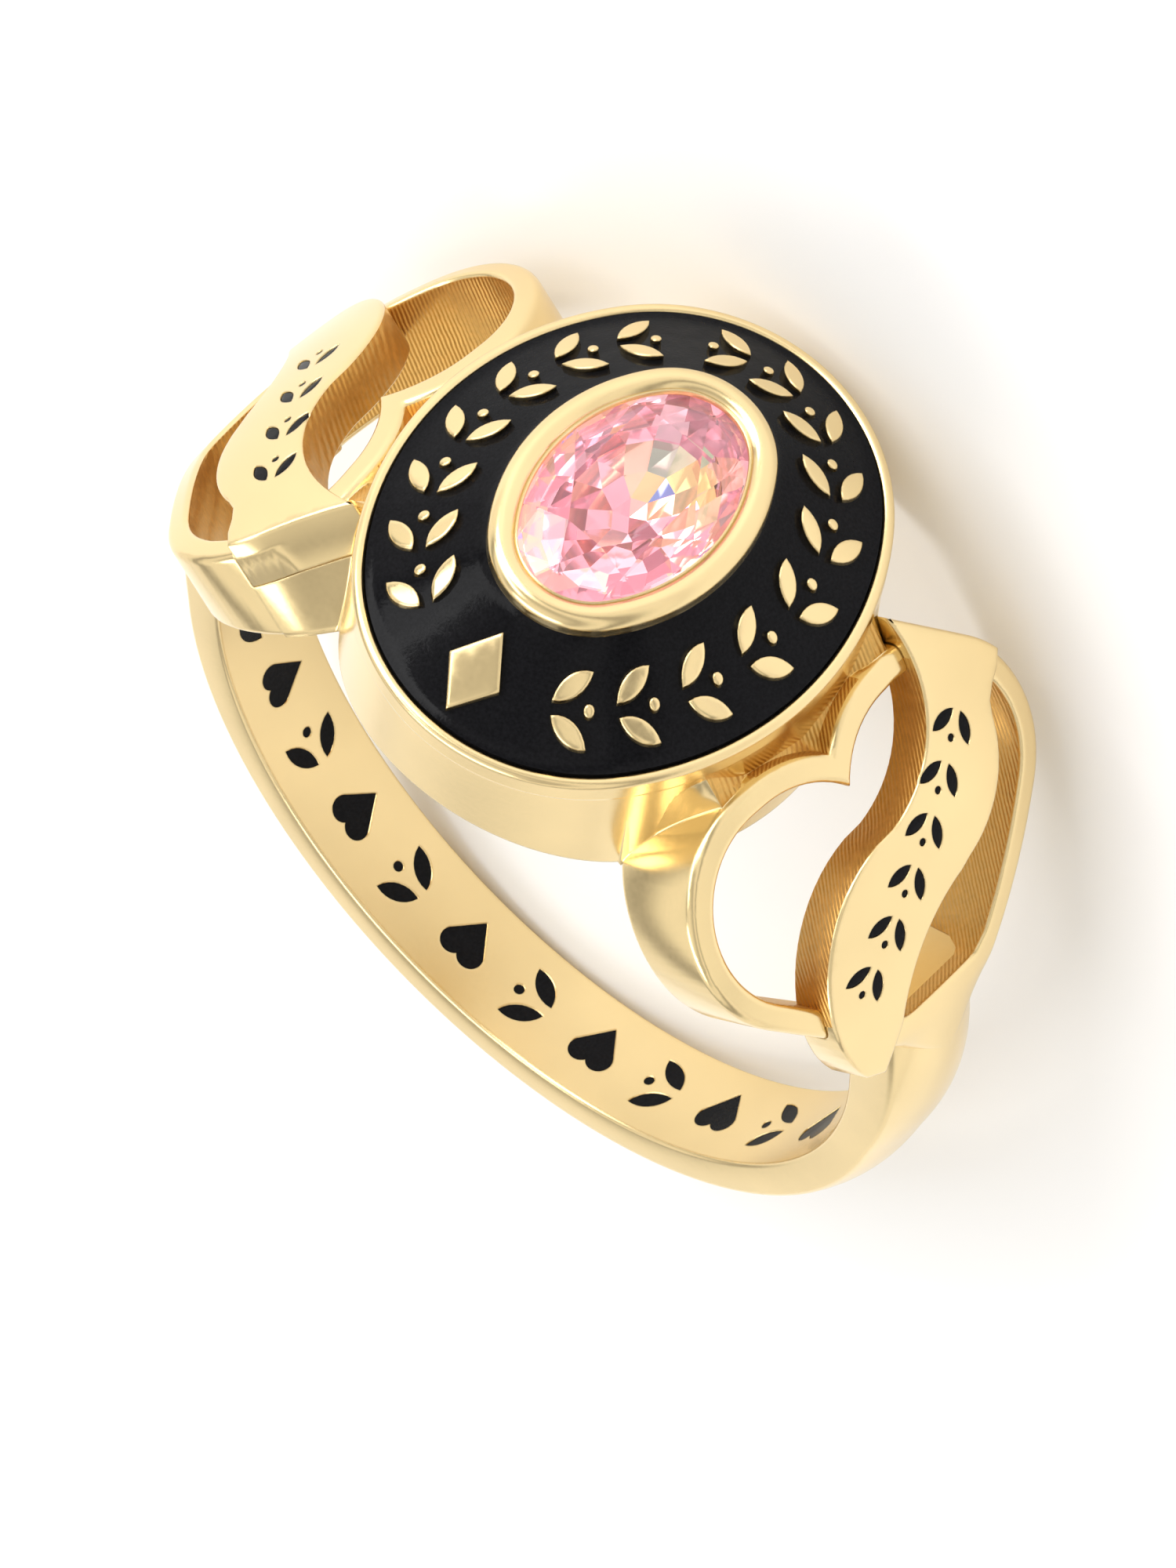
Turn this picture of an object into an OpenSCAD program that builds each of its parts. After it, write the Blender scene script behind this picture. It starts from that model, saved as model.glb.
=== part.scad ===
// Class ring with an oval signet head, a bezel-set stone and two pierced heart shoulders.
// The ring is drawn upright in its own axes: x across the shoulders, y along the finger,
// z out through the head, with the centre of the finger hole at zero.
// At the end it is laid on its side, with z up from the surface that it rests on.

/* [Finger hole and band] */
// Radius of the finger hole
bore_r = 8.65; // [7.8:0.05:10.5]
// Width of the band along the finger
band_w = 2.48; // [2:0.1:3.2]
// Thickness of the band at its edges
band_edge_t = 0.85; // [0.6:0.05:1.1]
// Thickness of the band along its middle
band_mid_t = 1.2; // [1.1:0.05:1.6]

/* [Head] */
// Length of the oval head along the finger
head_len = 12.08; // [11.6:0.05:12.8]
// Width of the oval head across the finger
head_wid = 10.28; // [9.9:0.02:10.9]
// Distance from the middle of the head to the centre of each end arc
end_c = 1.35; // [1.2:0.05:1.7]
// Height of the rim above the top of the finger hole
rim_h = 2.55; // [2.3:0.05:3]
// Width of the polished rim round the enamel
rim_w = 0.28; // [0.2:0.02:0.4]
// Height of the band below the rim, which stands out over the foot of the head
rim_band = 0.6; // [0.5:0.05:0.8]
// Step from that band in to the foot
foot_step = 0.03; // [0.02:0.01:0.1]
// Height of the enamel beside the bezel above the top of the finger hole
field_h = 4.15; // [3.9:0.05:4.3]
// Depth of the enamel
enamel_t = 0.35; // [0.25:0.05:0.5]
// Height of the raised ornament above the enamel
relief_h = 0.1; // [0.05:0.01:0.15]

/* [Bezel and stone] */
// Length of the oval stone
stone_len = 5.85; // [5.6:0.05:6.1]
// Width of the bezel round the visible stone
bezel_w = 0.62; // [0.5:0.02:0.7]
// Overlap of the bezel over the edge of the stone
bezel_lip = 0.1; // [0.06:0.01:0.15]
// Height of the bezel above the top of the finger hole
bezel_h = 4.68; // [4.6:0.02:4.9]
// Height of the stone from its girdle up to its table
crown_h = 0.72; // [0.6:0.02:0.9]
// Depth of the stone from its girdle down to its point
pavilion_h = 1.9; // [1.6:0.05:2.2]
// Thickness of the edge of the stone
girdle_t = 0.14; // [0.08:0.02:0.2]

/* [Heart shoulders] */
// Thickness of the shoulder about its own raised centre
shoulder_t = 1.52; // [1.4:0.02:1.7]
// Height of that centre above the centre of the finger hole
shoulder_rise = 1.385; // [1.2:0.05:1.6]
// Radius of the rounding of the shoulder along the finger
shoulder_dome_r = 21; // [15:1:40]
// Angle from the top of the head to the middle of each heart
heart_ang = 48; // [46:0.5:50]
// Radius of the lobes of the heart
lobe_r = 2.8; // [2.6:0.05:3]
// Distance of the outer lobe centres from the middle line
lobe_out = 2.1; // [1.9:0.05:2.3]
// Distance of the inner lobe centres from the middle line
lobe_in = 1.8; // [1.6:0.05:1.9]
// Distance of the lobe centres from the middle of the heart towards the head
lobe_back = 1.15; // [1:0.05:1.3]
// Angle between the middle line and the straight flanks
flank_ang = 44; // [41:1:48]
// Width of the frame round the heart
frame_w = 0.58; // [0.5:0.02:0.7]
// Distance from the middle of the heart to the end of its opening
opening_end = 3; // [2.7:0.1:3.2]

/* [Ribbon] */
// Height of the ribbon above the frame
ribbon_raise = 0.3; // [0.2:0.05:0.4]
// Thickness of the ribbon
ribbon_t = 1.15; // [0.9:0.05:1.4]

/* [Ornament] */
// Depth of the engraving
engrave_d = 0.16; // [0.12:0.02:0.25]
// Gap between enamel and metal, and between stone and metal
clear = 0.02; // [0.01:0.01:0.04]
// Size of the raised leaf pairs on the head
leaf_h = 1.3; // [1.1:0.05:1.4]
// Number of leaf pairs on the left spray
left_pairs = 7; // [5:1:7]
// Number of leaf pairs on the right spray
right_pairs = 10; // [8:1:10]
// Size of the leaf pairs on the ribbons
ribbon_mark_h = 1; // [0.8:0.05:1.1]
// Number of marks on the right ribbon
right_marks = 6; // [4:1:6]
// Number of marks on the left ribbon
left_marks = 4; // [3:1:4]
// Size of the marks inside the band
band_mark_h = 1.3; // [1:0.05:1.4]
// Number of marks inside the band
band_marks = 13; // [7:2:15]

/* [Hidden] */
$fn = 96;
gold = [0.89, 0.76, 0.47];
black = [0.04, 0.04, 0.045];
pink = [0.93, 0.6, 0.68];

// Cut of the stone, as shares of its length, width, crown and pavilion
table_share = 0.56;
star_share = 0.8;
star_rise = 0.62;
lower_share = 0.42;
lower_drop = 0.62;

// The head is a family of ovals, each made of two end arcs and two side arcs with the
// same four centres. A size rho is the radius of the end arcs.
oval_gap = end_c - (head_len - head_wid) / 2;
side_c = (end_c * end_c - oval_gap * oval_gap) / (2 * oval_gap);
side_add = sqrt(side_c * side_c + end_c * end_c);
seam_ang = atan2(end_c, side_c);
rim_rho = head_len / 2 - end_c;
foot_cross = 0.04;
stone_rho = stone_len / 2 - end_c;
lip_rho = stone_rho - bezel_lip;
bezel_rho = lip_rho + bezel_w;

// Heights over the centre of the finger hole
rim_z = bore_r + rim_h;
field_z = bore_r + field_h;
bezel_z = bore_r + bezel_h;
girdle_z = bezel_z - bezel_w / 2 - girdle_t / 2;
table_z = girdle_z + crown_h;

// Outline of the band and the shoulders
band_edge_r = bore_r + band_edge_t;
band_mid_r = bore_r + band_mid_t;
band_rise = band_mid_t - band_edge_t;
band_dome_r = (band_w * band_w / 4 + band_rise * band_rise) / (2 * band_rise);
shoulder_r = bore_r + shoulder_t;
heart_half = lobe_out + lobe_r;
flank_end = (lobe_out * cos(flank_ang) + lobe_r) / sin(flank_ang) - lobe_back;
// Depth by which the straight flanks start inside their lobes, so that they cross cleanly
flank_bite = 0.04;
band_start = heart_ang + asin(opening_end / shoulder_r);
// Angle about the shoulders' centre past which their outer surface has sunk into the band
band_join = acos((band_mid_r * band_mid_r - shoulder_r * shoulder_r - shoulder_rise * shoulder_rise)
                 / (2 * shoulder_r * shoulder_rise)) + 1;

// Pose on the surface: the ring lies on the edge of its band and the foot of its head
lean = atan2((head_len - band_w) / 2, bore_r + band_edge_r);
lift = cos(lean) * band_w / 2 + sin(lean) * band_edge_r;
bezel_reach = sin(lean) * (end_c + bezel_rho - bezel_w / 2) + cos(lean) * (bezel_z - bezel_w / 2)
              + bezel_w / 2;
table_reach = sin(lean) * stone_len / 2 * table_share + cos(lean) * table_z;
head_reach = max(bezel_reach, table_reach);
band_reach = cos(lean) * (band_mid_r - band_dome_r) + band_dome_r;

// Places of the edges between those slopes, from one side to the other
dome_places = [-1, -0.72, -0.45, -0.18, 0.18, 0.45, 0.72, 1];

// Arcs of the ribbon's two edges, in half widths of the heart, named by their columns:
// centre along the heart, centre along the finger, radius, first angle, last angle
ARC_S = 0;
ARC_Y = 1;
ARC_R = 2;
ARC_FROM = 3;
ARC_TO = 4;
inner_arcs = [[-0.9, -0.075, 0.65, 102, 9], [0.36, 0, 0.62, 187, 302]];
outer_arcs = [[0.85, 0.365, 0.715, 246, 190], [-0.44, 0.19, 0.575, 12, 128]];
ribbon_end = [0.74, -0.43];
ribbon_start = [-1.05, 0.6];
// The marks on the ribbons lie between these two places, in the same unit
marks_from = [-0.4, 0.54];
marks_to = [0.24, -0.4];
left_marks_to = [0.03, -0.12];

// Angles of the raised ornament round the head, from the right shoulder anticlockwise
right_first = -58;
right_last = 108;
left_first = 237;
left_last = 134;
// Place of the ornament across the enamel, from the bezel to the rim
mark_place = 0.56;
// Angle that the marks inside the band cover to each side of its back
band_marks_ang = 72;

// Section turned about z. Only what lies to the right of the axis counts.
module turned() {
  rotate_extrude()
    intersection() {
      children();
      translate([0, -head_len])
        square([2 * head_len, 4 * head_len]);
    }
}

// Sweeps a section round the oval: its x is rho and its y is the height. The four parts
// meet on the planes through the centres of their arcs.
module oval_sweep() {
  far = 2 * head_len * [cos(seam_ang), sin(seam_ang)];
  for (turn = [0, 180]) {
    rotate(turn) {
      intersection() {
        translate([0, end_c, 0])
          turned()
            children();
        linear_extrude(height = 2 * head_len)
          polygon([[0, end_c], [far[0], end_c + far[1]], [-far[0], end_c + far[1]]]);
      }
      intersection() {
        translate([-side_c, 0, 0])
          rotate(180)
            turned()
              translate([side_add, 0])
                children();
        linear_extrude(height = 2 * head_len)
          polygon([[0, -end_c], [far[0], -end_c - far[1]], [far[0], end_c + far[1]], [0, end_c]]);
      }
    }
  }
}

// Turns a section of revolution so that its axis is the finger's. Angles go from the
// top of the head towards the right shoulder.
module round_finger(from, to) {
  rotate([90, 0, 0])
    rotate(90 - to)
      rotate_extrude(angle = to - from)
        children();
}

// Section of the band: flat inside, rounded outside, for an outer radius of r
module band_section(r, inside) {
  intersection() {
    translate([r - band_dome_r, 0])
      circle(band_dome_r);
    translate([inside, -band_w / 2])
      square([r - inside, band_w]);
  }
}

module bore(r) {
  rotate([90, 0, 0])
    cylinder(h = 3 * head_len, r = r, center = true);
}

// The shoulders' outer surface falls away from the middle line in a few slopes
function shoulder_point(place, height) =
  let (y = place * (heart_half + 1))
  [shoulder_r + height + sqrt(shoulder_dome_r * shoulder_dome_r - y * y) - shoulder_dome_r, y];

// Layer of the shoulders between two heights over their outer surface
module shoulder_layer(low, high) {
  translate([0, 0, shoulder_rise])
    rotate([90, 0, 0])
      rotate_extrude()
        polygon(concat([for (place = dome_places) shoulder_point(place, high)],
                       [for (place = dome_places) shoulder_point(-place, low)]));
}

// Stands a sketch on the right shoulder: its x runs from the head to the back of the
// band and its y along the finger
module on_shoulder() {
  rotate([0, heart_ang, 0])
    linear_extrude(height = 2 * shoulder_r)
      children();
}

// Heart of the shoulder, made smaller all round by inset
module heart(inset) {
  r = lobe_r - inset;
  tip = flank_end - inset / sin(flank_ang);
  side = lobe_out + (r - flank_bite) * cos(flank_ang);
  flank = (r - flank_bite) * sin(flank_ang) - lobe_back;
  for (y = [-lobe_out, -lobe_in, lobe_in, lobe_out]) {
    translate([-lobe_back, y])
      circle(r);
  }
  polygon([[-lobe_back, lobe_out], [-lobe_back, -lobe_out], [flank, -side], [tip, 0], [flank, side]]);
}

module heart_opening() {
  intersection() {
    heart(frame_w);
    translate([-2 * heart_half, -heart_half])
      square([2 * heart_half + opening_end, 2 * heart_half]);
  }
}

// Points along one arc of the ribbon
function arc_points(a, n) = [for (i = [0 : n])
  let (t = a[ARC_FROM] + (a[ARC_TO] - a[ARC_FROM]) * i / n)
  heart_half * [a[ARC_S] + a[ARC_R] * cos(t), a[ARC_Y] + a[ARC_R] * sin(t)]];

module ribbon_outline() {
  polygon(concat(arc_points(inner_arcs[0], 10), arc_points(inner_arcs[1], 12),
                 [heart_half * ribbon_end], arc_points(outer_arcs[0], 8), arc_points(outer_arcs[1], 12),
                 [heart_half * ribbon_start]));
}

// Pointed leaf from zero along x, made larger all round by grow
module leaf(len, wid, grow) {
  r = (len * len + wid * wid) / (4 * wid);
  intersection_for (side = [-1, 1])
    translate([len / 2, side * (r - wid / 2)])
      circle(r + grow);
}

// Pair of leaves and a berry on a stem that runs along x
module leaf_pair(h, grow) {
  for (side = [-1, 1]) {
    translate([-0.34 * h, side * 0.1 * h])
      rotate(side * 34)
        leaf(0.74 * h, 0.3 * h, grow);
  }
  translate([0.26 * h, 0])
    circle(0.09 * h + grow, $fn = 24);
}

module small_heart(h, grow) {
  a = 0.3 * h;
  for (side = [-1, 1]) {
    translate([-a / 2, side * a * 0.62])
      circle(a * 0.75 + grow, $fn = 32);
  }
  polygon([[-a / 2, 0], [-0.02 * h, -1.3 * a - grow], [1.6 * a + 1.4 * grow, 0],
           [-0.02 * h, 1.3 * a + grow]]);
}

module lozenge(len, wid, grow) {
  polygon([[-len / 2 - grow * 1.4, 0], [0, -wid / 2 - grow * 1.4], [len / 2 + grow * 1.4, 0],
           [0, wid / 2 + grow * 1.4]]);
}

// Place on the enamel at an angle round the oval
mark_rho = bezel_rho + mark_place * (rim_rho - rim_w - bezel_rho);
function oval_place(t) = [(mark_rho + oval_gap) * cos(t), (mark_rho + end_c) * sin(t)];
function oval_heading(t) = atan2((mark_rho + end_c) * cos(t), -(mark_rho + oval_gap) * sin(t));

// Two sprays of leaves that rise from a lozenge, in plan
module head_ornament(grow) {
  for (i = [0 : right_pairs - 1]) {
    t = right_first + (right_last - right_first) * i / (right_pairs - 1);
    translate(oval_place(t))
      rotate(oval_heading(t))
        leaf_pair(leaf_h, grow);
  }
  for (i = [0 : left_pairs - 1]) {
    t = left_first + (left_last - left_first) * i / (left_pairs - 1);
    translate(oval_place(t))
      rotate(oval_heading(t) + 180)
        leaf_pair(leaf_h, grow);
  }
  translate(oval_place(-90))
    lozenge(1.05 * leaf_h, 1.25 * leaf_h, grow);
}

// Section of a layer that follows the slope of the enamel, from low to high
module field_section(low, high, gap) {
  inner = bezel_rho + gap;
  outer = rim_rho - rim_w - gap;
  polygon([[-10, field_z + low], [inner, field_z + low], [outer, rim_z + low], [outer, rim_z + high],
           [inner, field_z + high], [-10, field_z + high]]);
}

module head_section() {
  polygon([[-10, rim_z - rim_band], [rim_rho, rim_z - rim_band], [rim_rho, rim_z - rim_w / 2],
           [rim_rho - rim_w, rim_z - rim_w / 2],
           [rim_rho - rim_w, rim_z - enamel_t], [bezel_rho, field_z - enamel_t],
           [bezel_rho, bezel_z - bezel_w / 2], [-10, bezel_z - bezel_w / 2]]);
  translate([rim_rho - rim_w / 2, rim_z - rim_w / 2])
    circle(rim_w / 2, $fn = 32);
  translate([bezel_rho - bezel_w / 2, bezel_z - bezel_w / 2])
    circle(bezel_w / 2, $fn = 32);
}

// The stone's seat: open above the lip, wider at the girdle, narrowing to the point
module seat_section() {
  wide = stone_rho + 2 * clear;
  low = girdle_z - girdle_t / 2;
  high = girdle_z + girdle_t / 2 + 2 * clear;
  polygon([[-10, low - pavilion_h - 2 * clear], [0.1, low - pavilion_h - 2 * clear], [wide, low],
           [wide, high], [lip_rho, high], [lip_rho, bezel_z + 1], [-10, bezel_z + 1]]);
}

// Foot of the head, down to the finger hole. Its side arcs are drawn in a little more than
// its end arcs, so that they cross each other cleanly.
module head_foot() {
  linear_extrude(height = rim_z - 0.8 * rim_band)
    intersection() {
      intersection_for (side = [-1, 1])
        translate([side * side_c, 0])
          circle(rim_rho + side_add - foot_step - foot_cross);
      union() {
        for (side = [-1, 1]) {
          translate([0, side * end_c])
            circle(rim_rho - foot_step);
        }
        square([2 * head_len, 2 * (end_c + rim_rho * sin(seam_ang))], center = true);
      }
    }
}

module head_metal() {
  difference() {
    oval_sweep()
      head_section();
    oval_sweep()
      seat_section();
  }
  head_foot();
}

// Raised ornament that stands through the enamel
module head_relief() {
  intersection() {
    linear_extrude(height = 2 * bore_r)
      head_ornament(0);
    oval_sweep()
      field_section(-2 * enamel_t, relief_h, 0);
  }
}

module shoulder_metal() {
  intersection() {
    on_shoulder()
      difference() {
        heart(0);
        heart_opening();
      }
    shoulder_layer(-shoulder_t - shoulder_rise - 1, 0);
  }
  intersection() {
    on_shoulder()
      ribbon_outline();
    shoulder_layer(ribbon_raise - ribbon_t, ribbon_raise);
  }
}

// Marks on a ribbon, spread from the end by the head towards the point last
module ribbon_marks(count, last, grow) {
  step = (last - marks_from) * heart_half / (count - 1);
  for (i = [0 : count - 1]) {
    translate(heart_half * marks_from + i * step)
      rotate(atan2(step[1], step[0]))
        leaf_pair(ribbon_mark_h, grow);
  }
}

module ribbon_marks_layer(count, last, grow, low, high) {
  intersection() {
    on_shoulder()
      ribbon_marks(count, last, grow);
    shoulder_layer(ribbon_raise + low, ribbon_raise + high);
  }
}

// Marks inside the band, leaf pairs and small hearts in turn
module band_marks_solid(grow) {
  for (i = [0 : band_marks - 1]) {
    t = 180 + band_marks_ang * (2 * i / (band_marks - 1) - 1);
    rotate([0, t, 0])
      linear_extrude(height = 2 * bore_r)
        if (i % 2 == 0) leaf_pair(band_mark_h, grow);
        else rotate(90) small_heart(band_mark_h, grow);
  }
}

// Lays the ring on its side, with the middle of its outline over the origin
module lay_down() {
  translate([0, (head_reach - band_reach) / 2, lift])
    rotate([90 - lean, 0, 0])
      rotate(180)
        children();
}

module shank_metal() {
  round_finger(band_start, 360 - band_start)
    band_section(band_mid_r, bore_r - 1);
  translate([0, 0, shoulder_rise]) {
    round_finger(band_start, band_join)
      band_section(shoulder_r, bore_r - shoulder_rise - 1);
    round_finger(360 - band_join, 360 - band_start)
      band_section(shoulder_r, bore_r - shoulder_rise - 1);
  }
}

// Band, shoulders, ribbons and head, before any engraving
module cast_metal() {
  difference() {
    union() {
      shank_metal();
      for (turn = [0, 180]) {
        rotate(turn)
          shoulder_metal();
      }
      head_metal();
    }
    bore(bore_r);
  }
  head_relief();
}

module engraved_ribbons() {
  difference() {
    cast_metal();
    ribbon_marks_layer(right_marks, marks_to, 0, -engrave_d, 1);
    rotate(180)
      ribbon_marks_layer(left_marks, left_marks_to, 0, -engrave_d, 1);
  }
}

// One cast metal piece, engraved on its ribbons and inside its band
module ring_body() {
  color(gold)
    lay_down()
      difference() {
        engraved_ribbons();
        intersection() {
          band_marks_solid(0);
          bore(bore_r + engrave_d);
        }
      }
}

function ellipse_ring(n, share, turn, z) = [for (i = [0 : n - 1])
  let (t = 360 * (i + turn) / n)
  [share * (stone_rho + oval_gap) * cos(t), share * (stone_rho + end_c) * sin(t), z]];

// Oval cut stone: a table, stars, kites and girdle facets over a faceted point
module centre_stone() {
  top = girdle_z + girdle_t / 2;
  low = girdle_z - girdle_t / 2;
  points = concat(ellipse_ring(8, table_share, 0.5, table_z),
                  ellipse_ring(8, star_share, 0, top + (table_z - top) * star_rise),
                  ellipse_ring(16, 1, 0, top), ellipse_ring(16, 1, 0, low),
                  ellipse_ring(8, lower_share, 0, low - pavilion_h * lower_drop),
                  [[0, 0, low - pavilion_h]]);
  table = 0;
  star = 8;
  upper = 16;
  lower = 32;
  pave = 48;
  culet = 56;
  faces = concat(
    [[for (i = [7 : -1 : 0]) table + i]],
    [for (i = [0 : 7]) [table + (i + 7) % 8, table + i, star + i]],
    [for (i = [0 : 7]) [table + i, upper + 2 * i + 1, star + i]],
    [for (i = [0 : 7]) [table + i, star + (i + 1) % 8, upper + 2 * i + 1]],
    [for (i = [0 : 7]) [star + i, upper + 2 * i + 1, upper + 2 * i]],
    [for (i = [0 : 7]) [star + i, upper + 2 * i, upper + (2 * i + 15) % 16]],
    [for (i = [0 : 15]) [upper + i, upper + (i + 1) % 16, lower + i]],
    [for (i = [0 : 15]) [upper + (i + 1) % 16, lower + (i + 1) % 16, lower + i]],
    [for (i = [0 : 7]) [pave + i, lower + 2 * i, lower + 2 * i + 1]],
    [for (i = [0 : 7]) [pave + i, lower + (2 * i + 15) % 16, lower + 2 * i]],
    [for (i = [0 : 7]) [pave + i, lower + 2 * i + 1, pave + (i + 1) % 8]],
    [for (i = [0 : 7]) [culet, pave + i, pave + (i + 1) % 8]]);
  color(pink)
    lay_down()
      polyhedron(points, faces);
}

// Black enamel of the head, with the ornament standing through it
module field_enamel() {
  color(black)
    lay_down()
      difference() {
        oval_sweep()
          field_section(clear - enamel_t, 0, clear);
        oval_sweep()
          polygon([[-10, bore_r], [bezel_rho + clear, bore_r], [bezel_rho + clear, bezel_z],
                   [-10, bezel_z]]);
        linear_extrude(height = 2 * bore_r)
          head_ornament(clear);
      }
}

module right_ribbon_enamel() {
  color(black)
    lay_down()
      ribbon_marks_layer(right_marks, marks_to, -clear, clear - engrave_d, -clear);
}

module left_ribbon_enamel() {
  color(black)
    lay_down()
      rotate(180)
        ribbon_marks_layer(left_marks, left_marks_to, -clear, clear - engrave_d, -clear);
}

module band_enamel() {
  color(black)
    lay_down()
      difference() {
        intersection() {
          band_marks_solid(-clear);
          bore(bore_r + engrave_d - clear);
        }
        bore(bore_r + clear);
      }
}

ring_body();
centre_stone();
field_enamel();
right_ribbon_enamel();
left_ribbon_enamel();
band_enamel();
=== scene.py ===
"""Dresses the class ring: polished gold casting, black enamel, cut stone and the stage."""
import math

import bpy
from mathutils import Matrix, Vector


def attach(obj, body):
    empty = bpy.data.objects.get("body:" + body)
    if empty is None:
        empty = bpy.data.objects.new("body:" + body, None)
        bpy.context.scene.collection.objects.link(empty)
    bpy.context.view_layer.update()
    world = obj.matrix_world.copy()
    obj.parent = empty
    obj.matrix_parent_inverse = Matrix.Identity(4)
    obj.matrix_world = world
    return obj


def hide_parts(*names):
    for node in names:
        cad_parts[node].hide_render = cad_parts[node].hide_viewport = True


bl_info = {
    "name": "Class Ring Dresser",
    "version": (1, 0, 0),
    "blender": (4, 5, 0),
    "location": "3D View > Sidebar > Ring",
    "description": "Builds the dressed pieces of a class ring around its packed solids",
    "category": "Object",
}

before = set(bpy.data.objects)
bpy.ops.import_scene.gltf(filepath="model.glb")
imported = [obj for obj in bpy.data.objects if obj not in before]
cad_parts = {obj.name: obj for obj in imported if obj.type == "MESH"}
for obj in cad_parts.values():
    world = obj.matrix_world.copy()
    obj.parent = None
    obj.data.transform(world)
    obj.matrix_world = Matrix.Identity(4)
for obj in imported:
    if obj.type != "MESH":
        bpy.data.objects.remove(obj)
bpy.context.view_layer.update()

# The ring is drawn in millimetres in its own axes: x across the shoulders, y along the
# finger, z out through the head. It is laid on its side at the end.
# Finger hole and band.
BORE_R = 8.65
BAND_HALF = 1.24
BAND_EDGE_R = 9.5
BAND_MID_R = 9.85
BAND_DOME_R = 2.371
# Ovals of the head: centres of their end and side arcs, then sizes and heights from the rim
# down to the stone.
END_C = 1.35
SIDE_C = 1.8
SIDE_ADD = 2.25
SEAM = math.atan2(END_C, SIDE_C)
RIM_RHO = 4.69
RIM_W = 0.28
HEAD_WALL_RHO = RIM_RHO - 0.03
RIM_Z = BORE_R + 2.55
FIELD_Z = BORE_R + 4.15
BEZEL_Z = BORE_R + 4.68
BEZEL_W = 0.62
LIP_RHO = 1.475
BEZEL_RHO = LIP_RHO + BEZEL_W
STONE_RHO = 1.575
GIRDLE_Z = BEZEL_Z - BEZEL_W / 2 - 0.07
CROWN_H = 0.72
PAVILION_H = 1.9
GIRDLE_T = 0.14

# Shoulders: their rounding over the finger hole, then the heart in its own plane.
SHOULDER_R = 10.17
SHOULDER_RISE = 1.385
DOME_R = 21.0
HEART_ANG = math.radians(48)
HEART_HALF = 4.9
LOBE_R = 2.8
LOBE_OUT = 2.1
LOBE_IN = 1.8
LOBE_BACK = 1.15
FLANK = math.radians(44)
FRAME_W = 0.58
FRAME_DEPTH = 3.9
OPENING_END = 3.0
# Ribbons: arcs as (s, y, radius, first angle, last angle) in shares of the heart's half length.
RIBBON_RAISE = 0.3
RIBBON_T = 1.15
INNER_ARCS = ((-0.9, -0.075, 0.65, 92, 9), (0.36, 0.0, 0.62, 187, 302))
OUTER_ARCS = ((0.85, 0.365, 0.715, 246, 190), (-0.44, 0.19, 0.575, 12, 74))
RIBBON_END = (0.74, -0.43)
ROOT_SWELL = [(-1.66, 3.78), (-1.88, 4.06), (-2.05, 4.4)]
ROOT_ARC = (114, 132)
ROOT_TIP = (-4.55, 2.82)
ROOT_BACK = [(-5.2, 2.235), (-5.2, 2.1), (-4.5, 2.62), (-4.0, 2.72), (-3.3, 3.2)]
# Casting between the head and the lobes: how far along the finger it and its pit reach, the
# height of its foot at the finger hole and of its top under the rim.
WEB_REACH = 4.02
PIT_REACH = 2.6
PIT_SLOPE = 1.1
WEB_FOOT = 7.76
WEB_TOP = 10.45
# Marks: sizes, numbers and places on the ribbons, inside the band and round the head.
RIBBON_MARK = 1.0
MARKS_FROM = (-0.4, 0.54)
RIGHT_MARKS, RIGHT_MARKS_TO = 6, (0.24, -0.4)
LEFT_MARKS, LEFT_MARKS_TO = 4, (0.03, -0.12)
BAND_MARK, BAND_MARKS, BAND_MARKS_ANG = 1.3, 13, 72
BAND_START = 65.2
LEAF = 1.3
MARK_RHO = BEZEL_RHO + 0.56 * (RIM_RHO - RIM_W - BEZEL_RHO)

# The ring's own axes laid down in the shared frame, and a heart's axes in the ring's.
LEAN = math.atan2(4.8, BORE_R + BAND_EDGE_R)
RING_TO_ROW = (Matrix.Translation((0, 0.00204868, 0.00362768))
               @ Matrix.Rotation(math.pi / 2 - LEAN, 4, "X")
               @ Matrix.Rotation(math.pi, 4, "Z") @ Matrix.Scale(0.001, 4))
HEART_TO_RING = Matrix.Rotation(HEART_ANG, 4, "Y")
MATERIALS = {}


# ---------------------------------------------------------------- shader expressions
class Wire:
    """A value socket of a material, so that shader maths reads as plain expressions."""

    def __init__(self, paint, socket):
        self.paint = paint
        self.socket = socket

    def _math(self, operation, a, b):
        return self.paint.node("ShaderNodeMath", {"operation": operation}, {0: a, 1: b})[0]

    def __add__(self, other):
        return self._math("ADD", self, other)

    __radd__ = __add__

    def __sub__(self, other):
        return self._math("SUBTRACT", self, other)

    def __rsub__(self, other):
        return self._math("SUBTRACT", other, self)

    def __mul__(self, other):
        return self._math("MULTIPLY", self, other)

    __rmul__ = __mul__

    def power(self, other):
        return self._math("POWER", self, other)


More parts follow.
